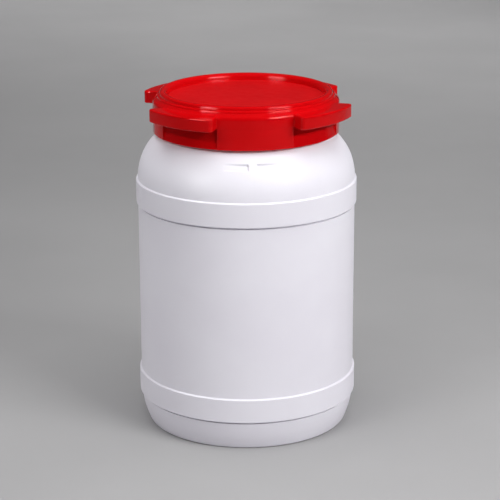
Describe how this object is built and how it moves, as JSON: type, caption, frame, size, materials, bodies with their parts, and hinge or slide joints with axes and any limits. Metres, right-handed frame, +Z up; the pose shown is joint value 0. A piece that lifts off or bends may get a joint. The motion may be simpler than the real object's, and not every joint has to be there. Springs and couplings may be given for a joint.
{
  "type": "plastic chemical drum",
  "caption": "Wide-neck blow-moulded plastic drum with rolling hoops, a threaded neck, a lugged screw lid and a sealing ring.",
  "frame": {"origin": "middle of the base, on the plane the drum stands on", "axes": "+Z up along the drum's axis, X and Y through the middles of the lid's lugs, with the shoulder marks between -Y and +X"},
  "size_m": [0.295, 0.295, 0.4558],
  "materials": {
    "natural_white": "satin natural white polyethylene",
    "red": "glossy red moulded plastic",
    "black_rubber": "matt black rubber"
  },
  "bodies": {
    "drum": {"drum_body": "natural_white"},
    "seal": {"gasket": "black_rubber"},
    "lid": {"screw_lid": "red"}
  },
  "joints": [
    {"name": "lid_rise", "type": "slide", "parent": "drum", "child": "seal", "axis": [0, 0, 1], "range_m": [0, 0.09]},
    {"name": "lid_turn", "type": "hinge", "parent": "seal", "child": "lid", "pos_m": [0, 0, 0.45], "axis": [0, 0, 1], "range_deg": [0, 2160]}
  ],
  "couplings": [
    {"joint": "lid_rise", "follows": "lid_turn", "m_per_rad": 0.0023873}
  ]
}
